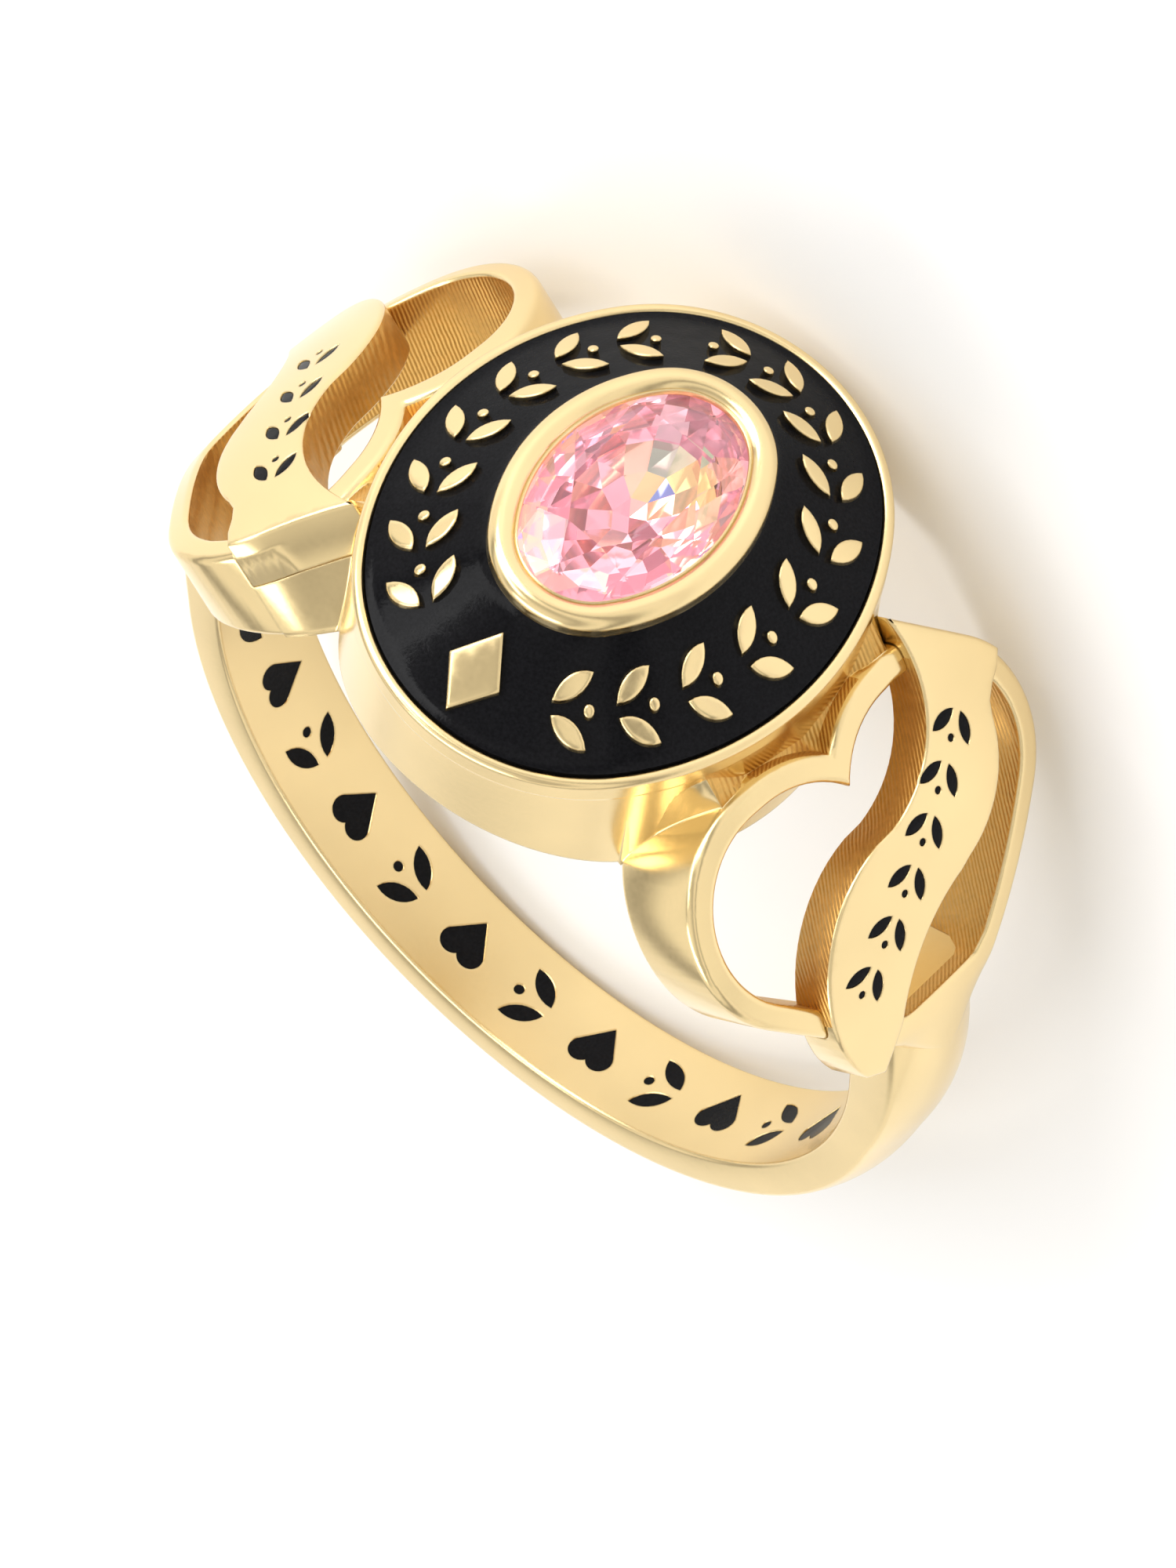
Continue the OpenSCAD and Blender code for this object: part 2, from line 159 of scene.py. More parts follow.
class Paint:
    """A node material and the few calls that fill it."""

    def __init__(self, name):
        self.material = bpy.data.materials.new(name)
        self.material.use_nodes = True
        self.tree = self.material.node_tree
        self.tree.nodes.clear()

    def node(self, kind, settings=None, inputs=None):
        node = self.tree.nodes.new(kind)
        for key, value in (settings or {}).items():
            if key == "stops":
                ramp = node.color_ramp
                while len(ramp.elements) < len(value):
                    ramp.elements.new(0.5)
                for element, (place, colour) in zip(ramp.elements, value):
                    element.position = place
                    element.color = (*colour, 1)
            else:
                setattr(node, key, value)
        for key, value in (inputs or {}).items():
            if isinstance(value, Wire):
                self.tree.links.new(value.socket, node.inputs[key])
            else:
                node.inputs[key].default_value = value
        return [Wire(self, socket) for socket in node.outputs]

    def place(self, scale=1.0):
        """Object coordinates in units of a metre over scale."""
        spot = self.node("ShaderNodeTexCoord")[3]
        return self.node("ShaderNodeMapping", None, {0: spot, 3: (scale, scale, scale)})[0]

    def noise(self, spot, scale, detail=3.0, rough=0.5):
        return self.node("ShaderNodeTexNoise", None,
                         {"Vector": spot, "Scale": scale, "Detail": detail, "Roughness": rough})[0]

    def ramp(self, value, stops):
        return self.node("ShaderNodeValToRGB", {"stops": stops}, {0: value})[0]

    def mix(self, share, first, second):
        return self.node("ShaderNodeMix", {"data_type": "RGBA"}, {0: share, 6: first, 7: second})[2]

    def finish(self, shader):
        out = self.tree.nodes.new("ShaderNodeOutputMaterial")
        self.tree.links.new(shader.socket, out.inputs[0])
        return self.material


def shade(colour, factor):
    return tuple(min(1, channel * factor) for channel in colour[:3])


def polished_gold(settings):
    """Polished pale gold with faint wear and softened edges."""
    paint = Paint("polished_gold")
    spot = paint.place(1000)
    cloud = paint.noise(spot, 0.35, 2)
    scuff = paint.noise(spot, 9.0, 4, 0.6)
    base = paint.ramp(cloud, ((0.3, shade(settings.gold, 0.94)), (0.7, shade(settings.gold, 1.03))))
    soft = paint.node("ShaderNodeBevel", {"samples": 6}, {0: 0.00007})[0]
    height = paint.noise(spot, 2.2, 3) * 0.6 + scuff * 0.4
    bump = paint.node("ShaderNodeBump", None,
                      {"Strength": 0.05, "Distance": 0.00003, "Height": height, "Normal": soft})[0]
    gold = paint.node("ShaderNodeBsdfPrincipled", None,
                      {"Base Color": base, "Metallic": 1.0, "Roughness": scuff * 0.1 + 0.15,
                       "Normal": bump})[0]
    return paint.finish(gold)


def cast_gold(settings):
    """Matte gold as cast, with fine parallel lines, inside the openings."""
    paint = Paint("cast_gold")
    spot = paint.place(1000)
    grain = paint.noise(spot, 6.0, 4, 0.65)
    lines = paint.node("ShaderNodeTexWave", {"wave_type": "BANDS", "bands_direction": "DIAGONAL"},
                       {"Vector": spot, "Scale": 4.2, "Distortion": 1.2, "Detail": 1.0})[1]
    base = paint.ramp(grain, ((0.25, shade(settings.cast, 0.82)), (0.75, shade(settings.cast, 1.06))))
    bump = paint.node("ShaderNodeBump", None,
                      {"Strength": 0.35, "Distance": 0.00006, "Height": lines * 0.7 + grain * 0.3})[0]
    gold = paint.node("ShaderNodeBsdfPrincipled", None,
                      {"Base Color": base, "Metallic": 1.0, "Roughness": grain * 0.2 + 0.34,
                       "Normal": bump})[0]
    return paint.finish(gold)


def black_enamel(settings):
    """Glossy black enamel with a slow swell in its surface."""
    paint = Paint("black_enamel")
    spot = paint.place(1000)
    swell = paint.noise(spot, 0.9, 2)
    pits = paint.noise(spot, 14.0, 3)
    base = paint.ramp(pits, ((0.3, shade(settings.enamel, 0.7)), (0.8, shade(settings.enamel, 1.5))))
    bump = paint.node("ShaderNodeBump", None,
                      {"Strength": 0.22, "Distance": 0.00012, "Height": swell * 0.9 + pits * 0.1})[0]
    skin = paint.node("ShaderNodeBsdfPrincipled", None,
                      {"Base Color": base, "Roughness": pits * 0.08 + 0.07, "IOR": 1.3,
                       "Specular IOR Level": 0.16, "Normal": bump})[0]
    return paint.finish(skin)


def clear_stone(settings):
    """Clear pink crown of the stone."""
    paint = Paint("clear_stone")
    spot = paint.place(1000)
    cloud = paint.noise(spot, 0.8, 2)
    tint = paint.ramp(cloud, ((0.3, shade(settings.stone, 1.12)), (0.7, shade(settings.stone, 1.3))))
    glass = paint.node("ShaderNodeBsdfPrincipled", None,
                       {"Base Color": tint, "Roughness": 0.0, "IOR": 1.62,
                        "Transmission Weight": 1.0})[0]
    return paint.finish(glass)


def facets_with_painted_sparkle(settings):
    """Mirror-like facets of the stone's back with painted light and shade: each facet has its own
    painted brightness from dark pink to white, a painted glow, and in one patch painted spectral fire.
    """
    paint = Paint("facets_with_painted_sparkle")
    share = paint.node("ShaderNodeAttribute", {"attribute_name": "facet"})[2]
    rose = settings.stone
    # Painted light and shade per facet: dark pink for facets in painted shade, up to white for painted
    # highlights.
    base = paint.ramp(share, ((0.0, shade(rose, 0.42)), (0.3, shade(rose, 0.8)),
                              (0.62, shade(rose, 1.02)), (0.85, (1.0, 0.86, 0.88)),
                              (1.0, (1.0, 0.97, 0.98))))
    # Painted glow: the brighter facets give off a faint light of their own.
    painted_glow = paint.ramp(share, ((0.0, shade(rose, 0.05)), (0.6, shade(rose, 0.22)),
                              (1.0, (0.6, 0.5, 0.52))))
    # Painted spectral fire: blue, green, yellow and orange mixed into the facets of one patch.
    fire = paint.node("ShaderNodeAttribute", {"attribute_name": "fire"})[2]
    painted_fire_hue = paint.ramp(share, ((0.2, (0.25, 0.45, 0.9)), (0.4, (0.45, 0.85, 0.5)),
                             (0.6, (1.0, 0.85, 0.25)), (0.8, (1.0, 0.5, 0.2))))
    foil = paint.node("ShaderNodeBsdfPrincipled", None,
                      {"Base Color": paint.mix(fire, base, painted_fire_hue), "Metallic": 0.9,
                       "Roughness": 0.06, "Emission Color": paint.mix(fire * 0.6, painted_glow, painted_fire_hue),
                       "Emission Strength": 1.0})[0]
    return paint.finish(foil)


# ---------------------------------------------------------------- modelling helpers
def only(*pieces):
    """Selects these objects alone, the first of them active."""
    if bpy.context.mode != "OBJECT":
        bpy.ops.object.mode_set(mode="OBJECT")
    bpy.ops.object.select_all(action="DESELECT")
    for piece in pieces:
        piece.select_set(True)
    bpy.context.view_layer.objects.active = pieces[0]


def apply_modifier(piece, kind, **settings):
    """Adds a modifier with these settings and applies it."""
    modifier = piece.modifiers.new(kind.title(), kind)
    for key, value in settings.items():
        setattr(modifier, key, value)
    only(piece)
    bpy.ops.object.modifier_apply(modifier=modifier.name)


def combine(piece, other, operation):
    """Cuts or adds another closed shape, which is used up."""
    apply_modifier(piece, "BOOLEAN", object=other, operation=operation, solver="MANIFOLD")
    bpy.data.objects.remove(other, do_unlink=True)


def tidy(piece, gap=1e-4):
    """Merges doubles, closes any open loop and points all faces outwards."""
    only(piece)
    bpy.ops.object.mode_set(mode="EDIT")
    bpy.ops.mesh.select_all(action="SELECT")
    bpy.ops.mesh.remove_doubles(threshold=gap)
    bpy.ops.mesh.select_all(action="SELECT")
    bpy.ops.mesh.fill_holes(sides=0)
    bpy.ops.mesh.select_all(action="SELECT")
    bpy.ops.mesh.normals_make_consistent(inside=False)
    bpy.ops.object.mode_set(mode="OBJECT")


def chain(name, points, closed):
    """Circle of edges moved to a section's points, and opened where it isn't closed."""
    if bpy.context.mode != "OBJECT":
        bpy.ops.object.mode_set(mode="OBJECT")
    bpy.ops.object.select_all(action="DESELECT")
    bpy.ops.mesh.primitive_circle_add(vertices=len(points), radius=1)
    piece = bpy.context.active_object
    piece.name = name
    for vertex, point in zip(piece.data.vertices, points):
        vertex.co = point
    if not closed:
        ends = {0, len(points) - 1}
        bpy.ops.object.mode_set(mode="EDIT")
        bpy.ops.mesh.select_mode(type="EDGE")
        bpy.ops.mesh.select_all(action="DESELECT")
        bpy.ops.object.mode_set(mode="OBJECT")
        for edge in piece.data.edges:
            edge.select = set(edge.vertices) == ends
        bpy.ops.object.mode_set(mode="EDIT")
        bpy.ops.mesh.delete(type="EDGE")
        bpy.ops.mesh.select_mode(type="VERT")
        bpy.ops.object.mode_set(mode="OBJECT")
    return piece


def oval_sweep(name, section, closed, ends=30, sides=22):
    """Spins a section of (rho, height) points round the head's four centres."""
    start = -SEAM
    points = [(-SIDE_C + (rho + SIDE_ADD) * math.cos(start), (rho + SIDE_ADD) * math.sin(start), z)
              for rho, z in section]
    piece = chain(name, points, closed)
    only(piece)
    bpy.ops.object.mode_set(mode="EDIT")
    bpy.ops.mesh.select_all(action="SELECT")
    side, end = 2 * SEAM, math.pi - 2 * SEAM
    for centre, angle, steps in (((-SIDE_C, 0, 0), side, sides), ((0, END_C, 0), end, ends),
                                 ((SIDE_C, 0, 0), side, sides), ((0, -END_C, 0), end, ends)):
        bpy.ops.mesh.spin(steps=steps, angle=-angle, center=centre, axis=(0, 0, 1),
                          use_auto_merge=False)
    bpy.ops.object.mode_set(mode="OBJECT")
    tidy(piece)
    return piece


def arc(centre, radius, first, last, steps):
    """Points along an arc, angles in degrees."""
    return [(centre[0] + radius * math.cos(math.radians(first + (last - first) * i / steps)),
             centre[1] + radius * math.sin(math.radians(first + (last - first) * i / steps)))
            for i in range(steps + 1)]


def slab(name, loops, low, high, edge=0.0, rings=2):
    """Solid between two heights with the outlines of these loops, its rims rounded by edge."""
    curve = bpy.data.curves.new(name, "CURVE")
    curve.dimensions = "2D"
    curve.fill_mode = "BOTH"
    curve.extrude = (high - low) / 2 - edge
    curve.bevel_depth = edge
    curve.bevel_resolution = rings
    curve.offset = -edge
    for loop in loops:
        spline = curve.splines.new("POLY")
        spline.points.add(len(loop) - 1)
        for point, (x, y) in zip(spline.points, loop):
            point.co = (x, y, 0, 1)
        spline.use_cyclic_u = True
    piece = bpy.data.objects.new(name, curve)
    bpy.context.collection.objects.link(piece)
    only(piece)
    bpy.ops.object.convert(target="MESH")
    piece = bpy.context.active_object
    for vertex in piece.data.vertices:
        vertex.co.z += (low + high) / 2
    tidy(piece, 1e-4)
    return piece


def slice_up(piece, axis, first, last, step):
    """Cuts a piece into strips, so that it can bend."""
    only(piece)
    bpy.ops.object.mode_set(mode="EDIT")
    place = first
    while place < last:
        bpy.ops.mesh.select_all(action="SELECT")
        centre, normal = [0, 0, 0], [0, 0, 0]
        centre[axis], normal[axis] = place, 1
        bpy.ops.mesh.bisect(plane_co=centre, plane_no=normal)
        place += step
    bpy.ops.object.mode_set(mode="OBJECT")


def paint_with(piece, *materials):
    piece.data.materials.clear()
    for material in materials:
        piece.data.materials.append(material)


# ---------------------------------------------------------------- places on the ring
def rho_of(x, y):
    """Size of the oval of the head's family through a point."""
    x, y = abs(x), abs(y)
    if math.atan2(y - END_C, x) > SEAM:
        return math.hypot(x, y - END_C)
    return math.hypot(x + SIDE_C, y) - SIDE_ADD


def field_height(rho):
    """Height of the enamel's surface at a size of the oval."""
    share = (rho - BEZEL_RHO) / (RIM_RHO - RIM_W - BEZEL_RHO)
    return FIELD_Z + (RIM_Z - FIELD_Z) * share


def turned_copy(piece, name):
    """Half-turned copy of a piece about the head's axis."""
    twin = piece.copy()
    twin.data = piece.data.copy()
    twin.name = name
    bpy.context.collection.objects.link(twin)
    twin.data.transform(Matrix.Rotation(math.pi, 4, "Z"))
    return twin


def lay_down(piece):
    """Lays a finished piece on its side, in metres, with its place in its mesh."""
    piece.matrix_world = RING_TO_ROW
    only(piece)
    bpy.ops.object.transform_apply(location=True, rotation=True, scale=True)


def seat(piece, slot, *nodes):
    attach(piece, "root")
    if nodes:
        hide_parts(*nodes)


def heart_loop(inset):
    """Outline of the heart, made smaller all round by inset."""
    r = LOBE_R - inset
    flank_deg = 90 - math.degrees(FLANK)
    notch = math.degrees(math.atan2(-LOBE_IN, -math.sqrt(r * r - LOBE_IN ** 2))) + 360
    half = arc((-LOBE_BACK, LOBE_IN), r, notch, 180, 10)
    half += arc((-LOBE_BACK, LOBE_OUT), r, 180, flank_deg, 36)
    tip = (LOBE_OUT * math.cos(FLANK) + LOBE_R) / math.sin(FLANK) - LOBE_BACK - inset / math.sin(FLANK)
    return half, tip


def heart_outline():
    half, tip = heart_loop(0)
    return half + [(tip, 0)] + [(s, -y) for s, y in reversed(half[1:])]


def opening_outline():
    """Outline of the heart's opening, cut short before the tip with rounded corners."""
    half, tip = heart_loop(FRAME_W)
    wide = (tip - OPENING_END) * math.tan(FLANK)
    half += [(OPENING_END - 0.28, wide + 0.28 * math.tan(FLANK)), (OPENING_END - 0.12, wide + 0.02),
             (OPENING_END - 0.03, wide - 0.14), (OPENING_END, wide - 0.32)]
    return half + [(s, -y) for s, y in reversed(half[1:])]


def ribbon_outline():
    """Outline of the ribbon, which widens to the heart's outer wall where it starts."""
    edges = []
    for arcs in (INNER_ARCS, OUTER_ARCS):
        edges.append([point for s, y, radius, first, last in arcs
                      for point in arc((s, y), radius, first, last, 20)])
    points = [(HEART_HALF * s, HEART_HALF * y) for s, y in edges[0] + [RIBBON_END] + edges[1]]
    return points + ROOT_SWELL + root_wall(0.01)


def root_wall(grow):
    """Outer wall of the ribbon's root, which leaves the heart's own wall for the head."""
    first, last = ROOT_ARC
    return (arc((-LOBE_BACK, LOBE_OUT), LOBE_R + grow, first, last, 8)
            + [(ROOT_TIP[0] - 0.67 * grow, ROOT_TIP[1] + 0.74 * grow)])


def root_outline():
    """Foot of the ribbon's root, from its outer wall inwards."""
    first, last = ROOT_ARC
    inner = arc((-LOBE_BACK, LOBE_OUT), LOBE_R - 0.5, last, first, 8)
    return root_wall(-0.012) + ROOT_BACK + inner


def leaf_loops(size, grow, spot=(0, 0), heading=0.0):
    """Outlines of a pair of leaves and a berry at a place."""
    loops = []
    length, width = 0.74 * size, 0.3 * size
    radius = (length ** 2 + width ** 2) / (4 * width)
    reach = math.sqrt((radius + grow) ** 2 - (radius - width / 2) ** 2)
    for side in (-1, 1):
        upper = []
        for i in range(9):
            x = -reach + 2 * reach * i / 8
            rise = math.sqrt(max((radius + grow) ** 2 - x * x, 0)) - (radius - width / 2)
            upper.append((length / 2 + x, rise))
        blade = upper + [(x, -y) for x, y in reversed(upper[1:-1])]
        turn = math.radians(side * 34)
        loops.append([(x * math.cos(turn) - y * math.sin(turn) - 0.34 * size,
                       x * math.sin(turn) + y * math.cos(turn) + side * 0.1 * size) for x, y in blade])
    loops.append(arc((0.26 * size, 0), 0.09 * size + grow, 0, 330, 11))
    return [move_loop(loop, spot, heading) for loop in loops]


def small_heart_loops(size, grow, spot=(0, 0), heading=0.0):
    """Outline of a small heart at a place."""
    a = 0.3 * size
    r = a * 0.75 + grow
    notch = 180 + math.degrees(math.asin(0.62 * a / r))
    half = arc((-a / 2, a * 0.62), r, notch, 50, 16)
    tip = (1.6 * a + 1.4 * grow, 0)
    loop = half + [tip] + [(x, -y) for x, y in reversed(half[1:])]
    return [move_loop(loop, spot, heading)]


def lozenge_loops(length, width, grow, spot=(0, 0), heading=0.0):
    """Outline of a lozenge at a place."""
    g = grow * 1.4
    loop = [(-length / 2 - g, 0), (0, -width / 2 - g), (length / 2 + g, 0), (0, width / 2 + g)]
    return [move_loop(loop, spot, heading)]


def move_loop(loop, spot, heading):
    c, s = math.cos(heading), math.sin(heading)
    return [(x * c - y * s + spot[0], x * s + y * c + spot[1]) for x, y in loop]


# ---------------------------------------------------------------- settings
class RingSizes(bpy.types.PropertyGroup):
    """Sizes of the finish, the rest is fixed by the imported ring"""
    frame_edge: bpy.props.FloatProperty(
        name="Heart Edge", description="Rounding along the edges of the hearts",
        default=0.00015, min=0.00002, max=0.0003, unit="LENGTH", precision=5)
    ribbon_edge: bpy.props.FloatProperty(
        name="Ribbon Edge", description="Rounding along the edges of the ribbons",
        default=0.00007, min=0.00001, max=0.0002, unit="LENGTH", precision=5)
    relief: bpy.props.FloatProperty(
        name="Relief", description="Height of the raised ornament over the enamel",
        default=0.00014, min=0.00005, max=0.0003, unit="LENGTH", precision=5)
    relief_edge: bpy.props.FloatProperty(
        name="Relief Edge", description="Rounding along the edges of the raised ornament",
        default=0.00005, min=0.00001, max=0.0001, unit="LENGTH", precision=5)
    engraving: bpy.props.FloatProperty(
        name="Engraving", description="Depth of the engraved marks",
        default=0.00016, min=0.0001, max=0.0003, unit="LENGTH", precision=5)


class RingColours(bpy.types.PropertyGroup):
    """Colours of the ring's finishes"""
    gold: bpy.props.FloatVectorProperty(
        name="Gold", description="Polished gold", subtype="COLOR", size=3,
        default=(0.87, 0.68, 0.36), min=0, max=1)
    cast: bpy.props.FloatVectorProperty(
        name="Cast Gold", description="Matte gold inside the openings", subtype="COLOR", size=3,
        default=(0.72, 0.43, 0.13), min=0, max=1)
    enamel: bpy.props.FloatVectorProperty(
        name="Enamel", description="Black enamel", subtype="COLOR", size=3,
        default=(0.006, 0.006, 0.007), min=0, max=1)
    stone: bpy.props.FloatVectorProperty(
        name="Stone", description="Pink stone", subtype="COLOR", size=3,
        default=(0.93, 0.57, 0.63), min=0, max=1)
    floor: bpy.props.FloatVectorProperty(
        name="Floor", description="Plain floor under the ring", subtype="COLOR", size=3,
        default=(0.94, 0.94, 0.94), min=0, max=1)


def sizes():
    return bpy.context.scene.ring_sizes


def colours():
    return bpy.context.scene.ring_colours


# ---------------------------------------------------------------- the band
def band_outer_r(angle):
    """Outer radius of the band's middle, blended into the shoulders' larger arc."""
    swell = (SHOULDER_RISE * math.cos(angle)
             + math.sqrt(SHOULDER_R ** 2 - (SHOULDER_RISE * math.sin(angle)) ** 2) - BAND_MID_R)
    return BAND_MID_R + (swell + math.hypot(swell, 0.04)) / 2 - 0.012


def band_section():
    """Points (radius, place along the finger): flat inside, rounded outside, soft corners."""
    half = [(BORE_R, place) for place in (0.0, 0.4, 0.8)]
    half += arc((BORE_R + 0.09, BAND_HALF - 0.09), 0.09, 180, 90, 4)
    half += arc((9.414, 1.09), 0.15, 90, 29.4, 4)
    centre = BAND_MID_R - BAND_DOME_R
    half += [(centre + math.sqrt(BAND_DOME_R ** 2 - y * y), y) for y in (1.0, 0.8, 0.6, 0.4, 0.2)]
    crown = [(BAND_MID_R, 0.0)]
    return half + crown + [(r, -y) for r, y in reversed(half[1:])]


def flat_sketch_on_bore(loops, angle, low, high):
    """Prism over these loops, wrapped inside the finger hole at an angle from the head."""
    piece = slab("mark", loops, low, high)
    slice_up(piece, 0, -0.8, 0.8, 0.2)
    for vertex in piece.data.vertices:
        x, y, out = vertex.co
        turn, radius = angle + x / BORE_R, BORE_R + out
        vertex.co = (radius * math.sin(turn), y, radius * math.cos(turn))
    return piece


def band_mark_loops(index, grow):
    """Outline of one mark inside the band: leaves and hearts by turns."""
    if index % 2 == 0:
        return leaf_loops(BAND_MARK, grow)
    return small_heart_loops(BAND_MARK, grow, (0, 0), math.pi / 2)


def band_marks(name, grow, low, high):
    """All the marks inside the band as one piece."""
    marks = []
    for index in range(BAND_MARKS):
        angle = math.radians(180 + BAND_MARKS_ANG * (2 * index / (BAND_MARKS - 1) - 1))
        marks.append(flat_sketch_on_bore(band_mark_loops(index, grow), angle, low, high))
    return join(name, marks)


def join(name, pieces):
    """Makes one object of several."""
    only(*pieces)
    if len(pieces) > 1:
        bpy.ops.object.join()
    piece = bpy.context.active_object
    piece.name = name
    return piece


def smooth(piece, degrees=34):
    only(piece)
    bpy.ops.object.shade_smooth_by_angle(angle=math.radians(degrees))


def true_normals(piece, rule):
    """Gives the corners that lie on a known surface its exact normals, so that it shines evenly."""
    mesh = piece.data
    normals = [corner.vector.copy() for corner in mesh.corner_normals]
    for face in mesh.polygons:
        for corner in face.loop_indices:
            exact = rule(face, mesh.vertices[mesh.loops[corner].vertex_index].co)
            if exact is not None:
                normals[corner] = exact
    mesh.normals_split_custom_set(normals)


def bore_normal(face, spot):
    """Normal of the finger hole's wall, where a corner lies on it."""
    if abs(math.hypot(spot.x, spot.z) - BORE_R) > 0.012 or abs(face.normal.y) > 0.5:
        return None
    inward = Vector((-spot.x, 0, -spot.z)).normalized()
    return inward if inward.dot(face.normal) > 0.9 else None


class RING_OT_band(bpy.types.Operator):
    """Rounded band with marks cut inside it"""
    bl_idname = "ring.band"
    bl_label = "Band"

    def execute(self, context):
        section = band_section()
        start = math.radians(BAND_START)
        points = [(r * math.sin(start), y, r * math.cos(start)) for r, y in section]
        band = chain("gold_band", points, True)
        only(band)
        bpy.ops.object.mode_set(mode="EDIT")
        bpy.ops.mesh.select_all(action="SELECT")
        bpy.ops.mesh.spin(steps=230, angle=2 * start - 2 * math.pi, center=(0, 0, 0), axis=(0, 1, 0))
        bpy.ops.object.mode_set(mode="OBJECT")
        tidy(band)
        for vertex in band.data.vertices:
            x, y, z = vertex.co
            radius, angle = math.hypot(x, z), math.atan2(x, z)
            share = max(0, (radius - BORE_R - 0.1) / (BAND_MID_R - BORE_R - 0.1))
            longer = 1 + share * (band_outer_r(angle) - BAND_MID_R) / radius
            vertex.co = (x * longer, y, z * longer)
        combine(band, band_marks("marks", 0, -0.4, sizes().engraving * 1000), "DIFFERENCE")
        smooth(band)
        true_normals(band, bore_normal)
        paint_with(band, MATERIALS["gold"])
        lay_down(band)
        seat(band, "gold", "ring_body")
        return {"FINISHED"}


# ---------------------------------------------------------------- shoulders
def inside_heart(s, y, inset):
    """Tells whether a point lies within the heart made smaller by inset."""
    y = abs(y)
    r = LOBE_R - inset
    tip = (LOBE_OUT * math.cos(FLANK) + LOBE_R) / math.sin(FLANK) - LOBE_BACK - inset / math.sin(FLANK)
    if math.hypot(s + LOBE_BACK, y - LOBE_OUT) < r or math.hypot(s + LOBE_BACK, y - LOBE_IN) < r:
        return True
    return (s > -LOBE_BACK and y < LOBE_OUT + r * math.cos(FLANK)
            and (tip - s) * math.sin(FLANK) > y * math.cos(FLANK))


def paint_walls(piece, is_cast):
    """Marks the upright walls that stay as cast, before a flat piece is bent."""
    piece.data.materials.clear()
    piece.data.materials.append(MATERIALS["gold"])
    piece.data.materials.append(MATERIALS["cast"])
    for face in piece.data.polygons:
        if abs(face.normal.z) < 0.5 and is_cast(*face.center):
            face.material_index = 1


def shoulder_normal(s, y, height):
    """Normal of the shoulder's layer at a height, along the heart's own axes."""
    step = 0.002
    slope_s = (layer_height(s + step, y, height) - layer_height(s - step, y, height)) / (2 * step)
    slope_y = (layer_height(s, y + step, height) - layer_height(s, y - step, height)) / (2 * step)
    return (HEART_TO_RING.to_3x3() @ Vector((-slope_s, -slope_y, 1))).normalized()


def layer_height(s, y, height):
    """Height along the heart's normal of the layer at a height over the shoulder's surface."""
    radius = SHOULDER_R + height + math.sqrt(DOME_R ** 2 - y * y) - DOME_R
    centre_s = -SHOULDER_RISE * math.sin(HEART_ANG)
    centre_n = SHOULDER_RISE * math.cos(HEART_ANG)
    return centre_n + math.sqrt(radius ** 2 - (s - centre_s) ** 2)


def band_height(s, y):
    """Height along the heart's normal of the band's rounded outside."""
    fall = BAND_DOME_R - math.sqrt(BAND_DOME_R ** 2 - min(abs(y), BAND_HALF) ** 2)
    angle = HEART_ANG + math.asin(s / SHOULDER_R)
    return math.sqrt((band_outer_r(angle) - fall) ** 2 - s * s)


def stand_on_shoulder(piece, low=None, merge=False):
    """Bends a flat piece over the shoulder. Below the height low it follows the finger hole.

    With merge, its tip comes down to the band's rounded outside.
    """
    for vertex in piece.data.vertices:
        s, y, height = vertex.co
        if low is not None and height < low / 2:
            out = math.sqrt((BORE_R + 0.008) ** 2 - s * s) + height - low
        else:
            out = layer_height(s, y, height)
            if merge:
                share = max(0, min(1, (s - 3.3) / 1.2))
                out += (band_height(s, y) + 0.02 + height - out) * share * share * (3 - 2 * share)
        vertex.co = HEART_TO_RING @ Vector((s, y, out))


def shine_top(piece, height):
    """Exact normals for the bent piece's top surface."""
    back = HEART_TO_RING.inverted()

    def rule(face, spot):
        s, y, out = back @ spot
        if abs(out - layer_height(s, y, height)) > 0.004:
            return None
        exact = shoulder_normal(s, y, height)
        return exact if exact.dot(face.normal) > 0.8 else None
    true_normals(piece, rule)


def heart_frame():
    """Pierced heart of a shoulder, with rounded edges."""
    edge = sizes().frame_edge * 1000
    frame_piece = slab("heart", [heart_outline(), opening_outline()], -FRAME_DEPTH, 0, edge, 3)
    slice_up(frame_piece, 0, -4.8, 5.0, 0.2)
    slice_up(frame_piece, 1, -4.8, 4.9, 0.4)
    paint_walls(frame_piece, lambda s, y, height: (
        inside_heart(s, y, FRAME_W * 0.6) or (s < -2.3 and abs(y) < 1.7)))
    stand_on_shoulder(frame_piece, -FRAME_DEPTH, True)
    smooth(frame_piece, 40)
    shine_top(frame_piece, 0)
    return frame_piece


def web():
    """Casting between the head and both lobes: leaning flanks and a shallow pit behind the rim."""
    rows, columns = 72, 7
    bpy.ops.mesh.primitive_grid_add(x_subdivisions=columns - 1, y_subdivisions=rows, size=1)
    piece = bpy.context.active_object
    for row in range(rows + 1):
        y = WEB_REACH * (2 * row / rows - 1)
        for column, spot in enumerate(web_section(y)):
            piece.data.vertices[row * columns + column].co = (spot[0], y, spot[1])
    tidy(piece)
    piece.data.materials.append(MATERIALS["gold"])
    piece.data.materials.append(MATERIALS["cast"])
    for face in piece.data.polygons:
        face.material_index = int(abs(face.center.y) < PIT_REACH and face.normal.z > 0.2)
    smooth(piece, 50)
    return piece


def lobe_wall(y):
    """Place along the heart of its outer wall beside the head."""
    off = max(LOBE_IN - abs(y), 0) + max(abs(y) - LOBE_OUT, 0)
    return -LOBE_BACK - math.sqrt(LOBE_R ** 2 - off ** 2)


def lobe_edge(y):
    """Point (x, z) just under the lobe's top edge, beside the head."""
    s = lobe_wall(y) + 0.06
    spot = HEART_TO_RING @ Vector((s, y, layer_height(s, y, -0.13)))
    return spot.x, spot.z


